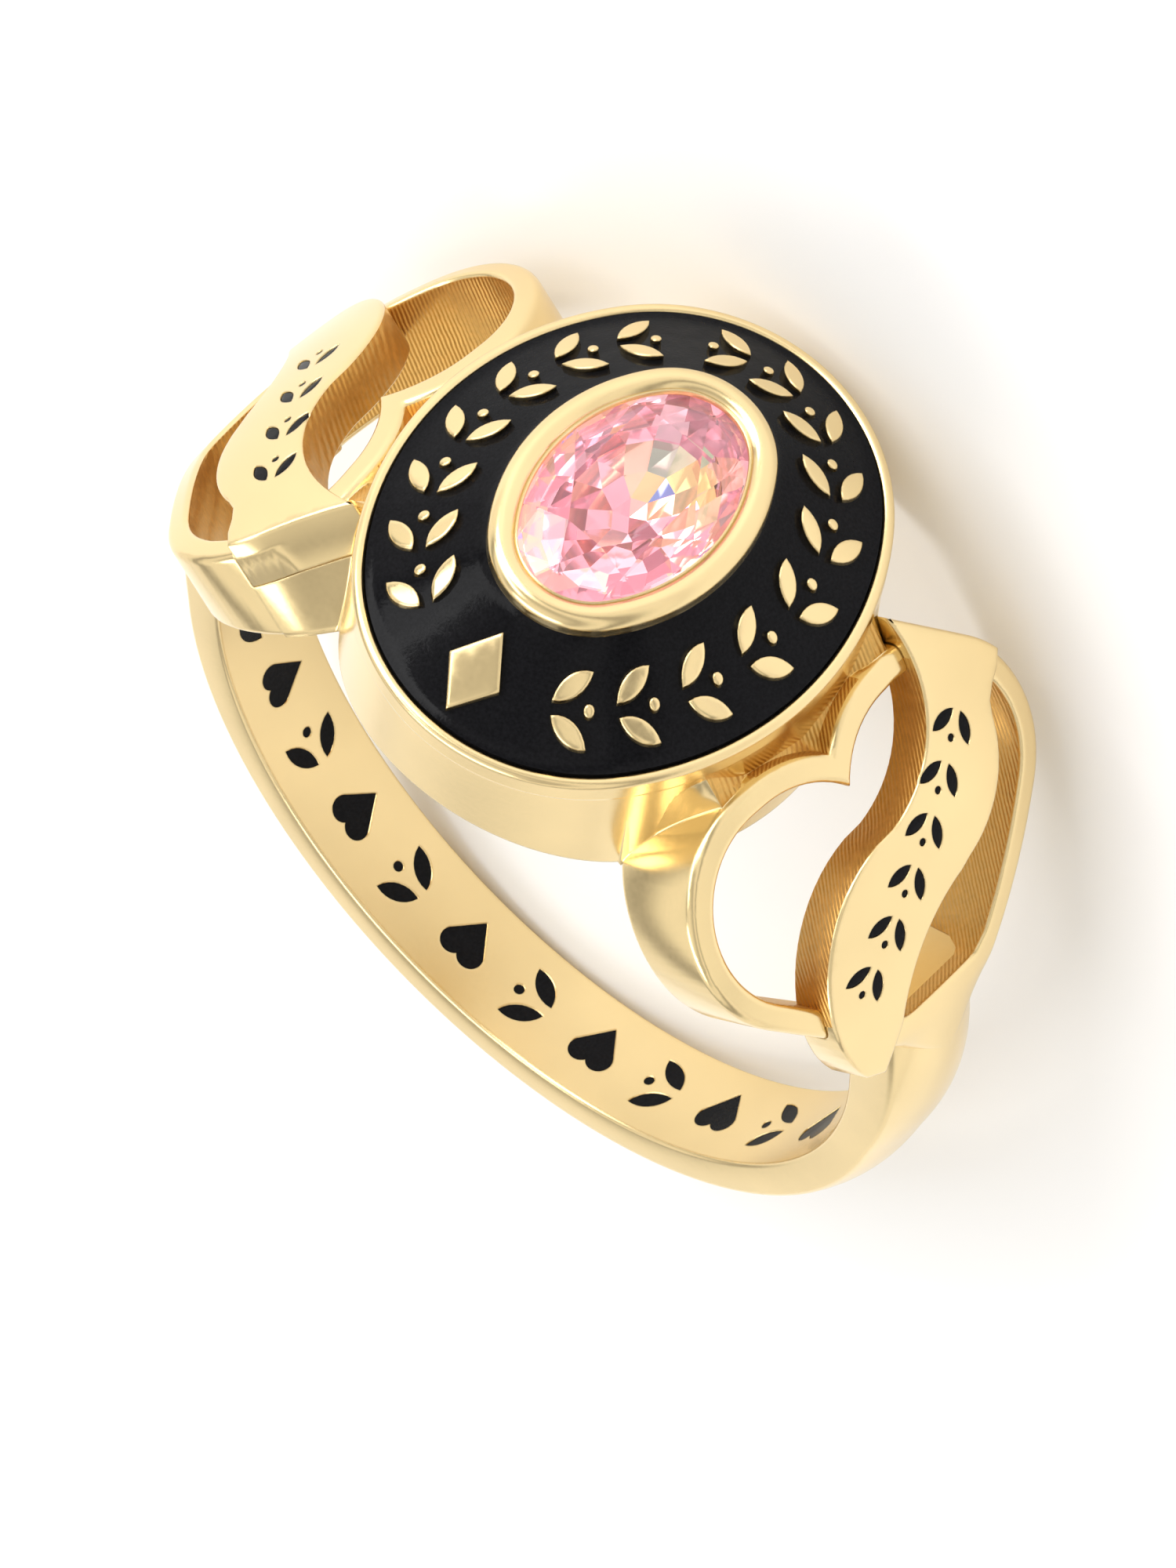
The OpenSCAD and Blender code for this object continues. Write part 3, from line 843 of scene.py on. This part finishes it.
def web_section(y):
    """Points (x, z) of the casting between head and lobes, for one place along the finger."""
    def over_bore(x, z):
        return x, max(z, math.sqrt((BORE_R + 0.004) ** 2 - x * x))

    cosine, sine = math.cos(HEART_ANG), math.sin(HEART_ANG)
    s, far = lobe_wall(y), abs(y)
    wall = math.sqrt((HEAD_WALL_RHO + SIDE_ADD) ** 2 - y * y) - SIDE_C
    edge_x, edge_z = lobe_edge(y)
    if far > PIT_REACH:
        climb = (WEB_REACH - far) / (WEB_REACH - PIT_REACH)
        edge_z = WEB_FOOT + (lobe_edge(PIT_REACH)[1] - WEB_FOOT) * climb
        edge_x = s * cosine + (edge_z + s * sine) * sine / cosine + 0.03
    pit = max(0, min(1, (PIT_REACH - far) / PIT_SLOPE))
    pit = pit * pit * (3 - 2 * pit)
    head_z = WEB_TOP + (edge_z - 0.12 - WEB_TOP) * pit
    head_x = wall - 0.03 - 0.03 * pit
    middle = ((head_x + edge_x) / 2, (head_z + edge_z) / 2 - 0.14 * pit)
    corner = (wall - s * cosine) / sine - 0.3
    root = ((s + 0.2) * cosine + corner * sine, corner * cosine - (s + 0.2) * sine)
    return ((head_x, head_z), middle, (edge_x, edge_z), over_bore(edge_x + 0.02, edge_z - 0.15),
            over_bore(*root), over_bore(wall - 0.2, 7.0), (head_x, head_z))


def ribbon_mark_loops(count, last, grow):
    """Outlines of a ribbon's marks, in a row along it."""
    first = Vector(MARKS_FROM) * HEART_HALF
    step = (Vector(last) * HEART_HALF - first) / (count - 1)
    heading = math.atan2(step.y, step.x)
    loops = []
    for index in range(count):
        loops += leaf_loops(RIBBON_MARK, grow, first + step * index, heading)
    return loops


def ribbon(count, last):
    """Ribbon across a heart, with its marks cut in."""
    edge = sizes().ribbon_edge * 1000
    strip = slab("ribbon", [ribbon_outline()], RIBBON_RAISE - RIBBON_T, RIBBON_RAISE, edge, 2)
    slice_up(strip, 0, -5.2, 4.4, 0.15)
    slice_up(strip, 1, -3.4, 3.9, 0.4)
    paint_walls(strip, lambda s, y, height: (
        height < RIBBON_RAISE - edge * 1.2 and inside_heart(s, y, FRAME_W * 0.4)))
    stand_on_shoulder(strip)
    depth = sizes().engraving * 1000
    marks = slab("marks", ribbon_mark_loops(count, last, 0), RIBBON_RAISE - depth, RIBBON_RAISE + 0.5)
    slice_up(marks, 0, -2.8, 2.2, 0.15)
    stand_on_shoulder(marks)
    combine(strip, marks, "DIFFERENCE")
    smooth(strip, 40)
    shine_top(strip, RIBBON_RAISE)
    root = slab("root", [root_outline()], -FRAME_DEPTH, RIBBON_RAISE - RIBBON_T + 0.05)
    slice_up(root, 0, -5.2, -2.2, 0.2)
    paint_walls(root, lambda s, y, height: False)
    stand_on_shoulder(root, -FRAME_DEPTH)
    smooth(root, 40)
    return join("ribbon", [strip, root])


class RING_OT_shoulders(bpy.types.Operator):
    """Both pierced heart shoulders and the ribbons across them"""
    bl_idname = "ring.shoulders"
    bl_label = "Heart Shoulders"

    def execute(self, context):
        right_frame = join("right_heart", [heart_frame(), web()])
        left_frame = turned_copy(right_frame, "left_heart")
        left_ribbon = ribbon(LEFT_MARKS, LEFT_MARKS_TO)
        left_ribbon.data.transform(Matrix.Rotation(math.pi, 4, "Z"))
        for name, parts in (("gold_right_shoulder", [right_frame, ribbon(RIGHT_MARKS, RIGHT_MARKS_TO)]),
                            ("gold_left_shoulder", [left_frame, left_ribbon])):
            shoulder = join(name, parts)
            lay_down(shoulder)
            seat(shoulder, "gold", "ring_body")
        return {"FINISHED"}


# ---------------------------------------------------------------- head
def head_section():
    """Points (rho, height) from the foot of the head over its rim and bezel into the seat."""
    points = [(HEAD_WALL_RHO, 5.5), (HEAD_WALL_RHO, RIM_Z - 0.66), (RIM_RHO - 0.028, RIM_Z - 0.62),
              (RIM_RHO - 0.006, RIM_Z - 0.58), (RIM_RHO, RIM_Z - 0.54)]
    points += arc((RIM_RHO - RIM_W / 2, RIM_Z - RIM_W / 2), RIM_W / 2, 0, 180, 10)
    points += [(RIM_RHO - RIM_W, RIM_Z - 0.35), (BEZEL_RHO, FIELD_Z - 0.35)]
    points += arc((BEZEL_RHO - BEZEL_W / 2, BEZEL_Z - BEZEL_W / 2), BEZEL_W / 2, 0, 150, 12)
    points += arc((LIP_RHO + 0.1, BEZEL_Z - 0.16), 0.1, 130, 180, 3)
    points += [(LIP_RHO, GIRDLE_Z + 0.11), (STONE_RHO + 0.04, GIRDLE_Z + 0.11),
               (STONE_RHO + 0.04, GIRDLE_Z - 0.07), (0.1, GIRDLE_Z - 2.01)]
    return points


def oval_normal(face, spot):
    """Outward normal of the head's upright wall."""
    if abs(face.normal.z) > 0.05 or rho_of(spot.x, spot.y) < RIM_RHO - 0.06:
        return None
    x, y = abs(spot.x), abs(spot.y)
    if math.atan2(y - END_C, x) > SEAM:
        out = Vector((x, y - END_C, 0))
    else:
        out = Vector((x + SIDE_C, y, 0))
    out = Vector((math.copysign(out.x, spot.x), math.copysign(out.y, spot.y), 0)).normalized()
    return out if out.dot(face.normal) > 0.9 else None


class RING_OT_head(bpy.types.Operator):
    """Oval head with its rim, its bezel and the seat of the stone"""
    bl_idname = "ring.head"
    bl_label = "Head"

    def execute(self, context):
        head = oval_sweep("gold_head", head_section(), False, 60, 44)
        bpy.ops.mesh.primitive_cylinder_add(vertices=360, radius=BORE_R + 0.004, depth=20,
                                            rotation=(math.pi / 2, 0, 0))
        combine(head, bpy.context.active_object, "DIFFERENCE")
        smooth(head, 30)
        true_normals(head, lambda face, spot: oval_normal(face, spot) or bore_normal(face, spot))
        paint_with(head, MATERIALS["gold"])
        lay_down(head)
        seat(head, "gold", "ring_body")
        return {"FINISHED"}


def oval_place(angle):
    return ((MARK_RHO + 0.45) * math.cos(angle), (MARK_RHO + END_C) * math.sin(angle))


def oval_heading(angle):
    return math.atan2((MARK_RHO + END_C) * math.cos(angle), -(MARK_RHO + 0.45) * math.sin(angle))


class RING_OT_ornament(bpy.types.Operator):
    """Raised leaves, berries and lozenge round the stone"""
    bl_idname = "ring.ornament"
    bl_label = "Raised Ornament"

    def execute(self, context):
        loops = []
        for first, last, count, flip in ((-58, 108, 10, 0), (237, 134, 7, math.pi)):
            for index in range(count):
                angle = math.radians(first + (last - first) * index / (count - 1))
                loops += leaf_loops(LEAF, 0, oval_place(angle), oval_heading(angle) + flip)
        down = math.radians(-90)
        loops += lozenge_loops(1.05 * LEAF, 1.25 * LEAF, 0, oval_place(down), oval_heading(down))
        edge = sizes().relief_edge * 1000
        ornament = slab("gold_ornament", loops, -0.3, sizes().relief * 1000, edge, 2)
        slice_up(ornament, 0, -4.6, 4.7, 0.3)
        slice_up(ornament, 1, -5.6, 5.7, 0.3)
        for vertex in ornament.data.vertices:
            vertex.co.z += field_height(rho_of(vertex.co.x, vertex.co.y))
        smooth(ornament, 40)
        paint_with(ornament, MATERIALS["gold"])
        lay_down(ornament)
        seat(ornament, "gold", "ring_body")
        return {"FINISHED"}


class RING_OT_field_enamel(bpy.types.Operator):
    """Black enamel round the stone, drawn up a little where it meets the metal"""
    bl_idname = "ring.field_enamel"
    bl_label = "Field Enamel"

    def execute(self, context):
        inner, outer = BEZEL_RHO - 0.01, RIM_RHO - RIM_W + 0.01
        section = []
        for index in range(25):
            share = index / 24
            rho = inner + (outer - inner) * share
            climb = 0.05 * math.exp(-(rho - inner) / 0.07) + 0.07 * math.exp(-(outer - rho) / 0.12)
            section.append((rho, field_height(rho) - 0.03 + climb))
        section += [(outer, RIM_Z - 0.3), (inner, FIELD_Z - 0.3)]
        enamel = oval_sweep("black_field", section, True, 60, 44)
        smooth(enamel, 50)
        paint_with(enamel, MATERIALS["enamel"])
        lay_down(enamel)
        seat(enamel, "enamel", "field_enamel")
        return {"FINISHED"}


# ---------------------------------------------------------------- stone
def stone_ring(count, share, turn, z):
    return [(share * (STONE_RHO + 0.45) * math.cos(2 * math.pi * (i + turn) / count),
             share * (STONE_RHO + END_C) * math.sin(2 * math.pi * (i + turn) / count), z)
            for i in range(count)]


def wrap(name, points):
    """Faceted solid stretched over these points."""
    piece = chain(name, points, True)
    only(piece)
    bpy.ops.object.mode_set(mode="EDIT")
    bpy.ops.mesh.select_all(action="SELECT")
    bpy.ops.mesh.convex_hull()
    bpy.ops.mesh.select_all(action="SELECT")
    bpy.ops.mesh.dissolve_limited(angle_limit=math.radians(0.6))
    bpy.ops.mesh.select_all(action="SELECT")
    bpy.ops.mesh.normals_make_consistent(inside=False)
    bpy.ops.object.mode_set(mode="OBJECT")
    return piece


def cut_points(shrink, drop):
    """Corners of the stone's facets, with its back drawn in by shrink."""
    top, low = GIRDLE_Z + GIRDLE_T / 2, GIRDLE_Z - GIRDLE_T / 2
    table = GIRDLE_Z + CROWN_H
    crown = (stone_ring(8, 0.58, 0.5, table) + stone_ring(8, 0.8, 0, top + (table - top) * 0.62)
             + stone_ring(32, 1, 0, top))
    back = (stone_ring(32, shrink, 0, low) + stone_ring(16, 0.76 * shrink, 0.5, low - 0.62)
            + stone_ring(8, 0.42 * shrink, 0, low - 1.22) + [(0, 0, low - PAVILION_H + drop)])
    return crown, back


class RING_OT_stone(bpy.types.Operator):
    """Clear cut stone, and the bright facets seen through it, whose sparkle, glow and fire are painted
    """
    bl_idname = "ring.stone"
    bl_label = "Cut Stone"

    def execute(self, context):
        crown, back = cut_points(1, 0)
        stone = wrap("clear_stone", crown + back)
        paint_with(stone, MATERIALS["glass"])
        lay_down(stone)
        seat(stone, "stone", "centre_stone")
        low = GIRDLE_Z - GIRDLE_T / 2
        inner = (stone_ring(32, 0.985, 0, low) + stone_ring(24, 0.84, 0.25, low - 0.4)
                 + stone_ring(16, 0.62, 0.5, low - 0.86) + stone_ring(12, 0.38, 0, low - 1.24)
                 + stone_ring(6, 0.17, 0.3, low - 1.5) + [(0, 0, low - 1.62)])
        facets = wrap("stone_facets", inner)
        only(facets)
        bpy.ops.object.mode_set(mode="EDIT")
        bpy.ops.mesh.select_mode(type="FACE")
        bpy.ops.mesh.select_all(action="DESELECT")
        bpy.ops.object.mode_set(mode="OBJECT")
        for face in facets.data.polygons:
            face.select = face.normal.z > 0.9
        bpy.ops.object.mode_set(mode="EDIT")
        bpy.ops.mesh.delete(type="FACE")
        bpy.ops.mesh.select_mode(type="VERT")
        bpy.ops.mesh.select_all(action="SELECT")
        bpy.ops.mesh.flip_normals()
        bpy.ops.object.mode_set(mode="OBJECT")
        share = facets.data.attributes.new("facet", "FLOAT", "FACE")
        fire = facets.data.attributes.new("fire", "FLOAT", "FACE")
        # Painted light on the facets: a painted patch of spectral fire near one side, and a painted
        # brightness that changes from facet to facet.
        for index, face in enumerate(facets.data.polygons):
            x, y, _ = face.center
            fire.data[index].value = max(0, 1 - math.hypot(x - 0.15, y - 1.15) / 0.95) ** 0.5
            share.data[index].value = (0.5 + 0.33 * math.sin(37.1 * x + 5) * math.sin(29.7 * y + 1)
                                       + 0.12 * math.sin(91.7 * (x + y)))
        paint_with(facets, MATERIALS["facets"])
        lay_down(facets)
        seat(facets, "stone", "centre_stone")
        return {"FINISHED"}


# ---------------------------------------------------------------- inlays
class RING_OT_inlays(bpy.types.Operator):
    """Black enamel in the engraving of the ribbons and inside the band"""
    bl_idname = "ring.inlays"
    bl_label = "Black Inlays"

    def execute(self, context):
        depth = sizes().engraving * 1000
        for name, count, last, turn, node in (
                ("right_ribbon_inlay", RIGHT_MARKS, RIGHT_MARKS_TO, 0, "right_ribbon_enamel"),
                ("left_ribbon_inlay", LEFT_MARKS, LEFT_MARKS_TO, math.pi, "left_ribbon_enamel")):
            inlay = slab(name, ribbon_mark_loops(count, last, -0.008), RIBBON_RAISE - depth,
                         RIBBON_RAISE - 0.02, 0.02, 1)
            slice_up(inlay, 0, -2.8, 2.2, 0.15)
            stand_on_shoulder(inlay)
            inlay.data.transform(Matrix.Rotation(turn, 4, "Z"))
            self.finish(inlay, node)
        self.finish(band_marks("band_inlay", -0.008, 0.02, depth), "band_enamel")
        return {"FINISHED"}

    def finish(self, inlay, node):
        smooth(inlay, 50)
        paint_with(inlay, MATERIALS["enamel"])
        lay_down(inlay)
        seat(inlay, "enamel", node)


# ---------------------------------------------------------------- stage
CAMERA_RIGHT = Vector((-0.746930, -0.261165, -0.611464))
CAMERA_DOWN = Vector((-0.615685, 0.618899, 0.487746))
CAMERA_AHEAD = Vector((0.251053, 0.740781, -0.623069))
CAMERA_SPOT = Vector((-0.21347, -0.62784, 0.53342))
RING_MIDDLE = Vector((0, 0, 0.006))


def facing(spot, target):
    """Place and turn of a lamp at a spot that looks at the target."""
    turn = (target - spot).to_track_quat("-Z", "Y")
    return Matrix.Translation(spot) @ turn.to_matrix().to_4x4()


def soft_lamp(name, right, up, near, size, power, colour=(1, 1, 1)):
    """Square soft lamp placed by the camera's own directions, in metres from the ring."""
    lamp = bpy.data.lights.new(name, "AREA")
    lamp.shape = "RECTANGLE"
    lamp.size, lamp.size_y = size
    lamp.energy = power
    lamp.color = colour
    holder = bpy.data.objects.new(name, lamp)
    bpy.context.collection.objects.link(holder)
    spot = RING_MIDDLE + CAMERA_RIGHT * right - CAMERA_DOWN * up - CAMERA_AHEAD * near
    holder.matrix_world = facing(spot, RING_MIDDLE)


class RING_OT_stage(bpy.types.Operator):
    """Plain floor, soft studio light and the camera"""
    bl_idname = "ring.stage"
    bl_label = "Stage"

    def execute(self, context):
        paint = Paint("pale_floor")
        spot = paint.place(1)
        cloud = paint.noise(spot, 3, 2)
        tone = colours().floor
        base = paint.ramp(cloud, ((0.3, shade(tone, 0.995)), (0.7, shade(tone, 1.005))))
        skin = paint.node("ShaderNodeBsdfPrincipled", None,
                          {"Base Color": base, "Roughness": 0.6, "Specular IOR Level": 0.2})[0]
        paint.finish(skin)
        bpy.ops.object.select_all(action="DESELECT")
        bpy.ops.mesh.primitive_plane_add(size=6)
        floor = bpy.context.active_object
        floor.name = "floor"
        bpy.ops.object.mode_set(mode="EDIT")
        bpy.ops.mesh.subdivide(number_cuts=3)
        bpy.ops.object.mode_set(mode="OBJECT")
        paint_with(floor, paint.material)

        soft_lamp("key", -0.25, 0.3, 0.35, (0.3, 0.3), 1.4)
        soft_lamp("side", -0.4, 0.1, 0.25, (0.12, 0.4), 0.5)
        soft_lamp("low", -0.35, -0.35, 0.1, (0.4, 0.12), 0.7)

        world = bpy.data.worlds.new("studio")
        context.scene.world = world
        world.use_nodes = True
        tree = world.node_tree
        tree.nodes.clear()
        place = tree.nodes.new("ShaderNodeTexCoord")
        split = tree.nodes.new("ShaderNodeSeparateXYZ")
        ramp = tree.nodes.new("ShaderNodeValToRGB")
        light = tree.nodes.new("ShaderNodeBackground")
        out = tree.nodes.new("ShaderNodeOutputWorld")
        tree.links.new(place.outputs["Generated"], split.inputs[0])
        tree.links.new(split.outputs[2], ramp.inputs[0])
        tree.links.new(ramp.outputs[0], light.inputs[0])
        tree.links.new(light.outputs[0], out.inputs[0])
        stops = ((0.0, 0.9), (0.1, 1.0), (0.26, 0.95), (0.34, 0.25), (0.42, 0.3), (0.52, 1.0),
                 (0.7, 0.85), (0.8, 0.4), (1.0, 0.9))
        while len(ramp.color_ramp.elements) < len(stops):
            ramp.color_ramp.elements.new(0.5)
        for element, (at, grey) in zip(ramp.color_ramp.elements, stops):
            element.position = at
            element.color = (grey, grey * 0.985, grey * 0.96, 1)
        light.inputs[1].default_value = 1.12

        view = bpy.data.cameras.new("camera")
        view.lens = 944.4
        view.sensor_fit = "AUTO"
        view.sensor_width = 36
        view.shift_x = 0.01068
        view.shift_y = 0.01204
        view.clip_start = 0.01
        view.clip_end = 20
        holder = bpy.data.objects.new("camera", view)
        context.collection.objects.link(holder)
        turn = Matrix((CAMERA_RIGHT, -CAMERA_DOWN, -CAMERA_AHEAD)).transposed()
        holder.matrix_world = Matrix.Translation(CAMERA_SPOT) @ turn.to_4x4()
        context.scene.camera = holder
        context.scene.view_settings.view_transform = "Standard"
        return {"FINISHED"}


class RING_PT_panel(bpy.types.Panel):
    """Lists the ring's pieces and its settings"""
    bl_idname = "RING_PT_panel"
    bl_label = "Ring"
    bl_space_type = "VIEW_3D"
    bl_region_type = "UI"
    bl_category = "Ring"

    def draw(self, context):
        column = self.layout.column()
        for group in (context.scene.ring_sizes, context.scene.ring_colours):
            for name in group.bl_rna.properties.keys():
                if name not in {"rna_type", "name"}:
                    column.prop(group, name)
        for operator in PIECES:
            column.operator(operator.bl_idname)


PIECES = (RING_OT_band, RING_OT_shoulders, RING_OT_head, RING_OT_ornament, RING_OT_field_enamel,
          RING_OT_stone, RING_OT_inlays, RING_OT_stage)
CLASSES = (RingSizes, RingColours) + PIECES + (RING_PT_panel,)


def register():
    for kind in CLASSES:
        bpy.utils.register_class(kind)
    bpy.types.Scene.ring_sizes = bpy.props.PointerProperty(type=RingSizes)
    bpy.types.Scene.ring_colours = bpy.props.PointerProperty(type=RingColours)


def unregister():
    del bpy.types.Scene.ring_sizes
    del bpy.types.Scene.ring_colours
    for kind in reversed(CLASSES):
        bpy.utils.unregister_class(kind)


def main():
    """Builds every piece."""
    register()
    MATERIALS.update(gold=polished_gold(colours()), cast=cast_gold(colours()),
                     enamel=black_enamel(colours()), glass=clear_stone(colours()),
                     facets=facets_with_painted_sparkle(colours()))
    bpy.ops.ring.band()
    bpy.ops.ring.shoulders()
    bpy.ops.ring.head()
    bpy.ops.ring.ornament()
    bpy.ops.ring.field_enamel()
    bpy.ops.ring.stone()
    bpy.ops.ring.inlays()
    bpy.ops.ring.stage()


if __name__ == "__main__":
    main()
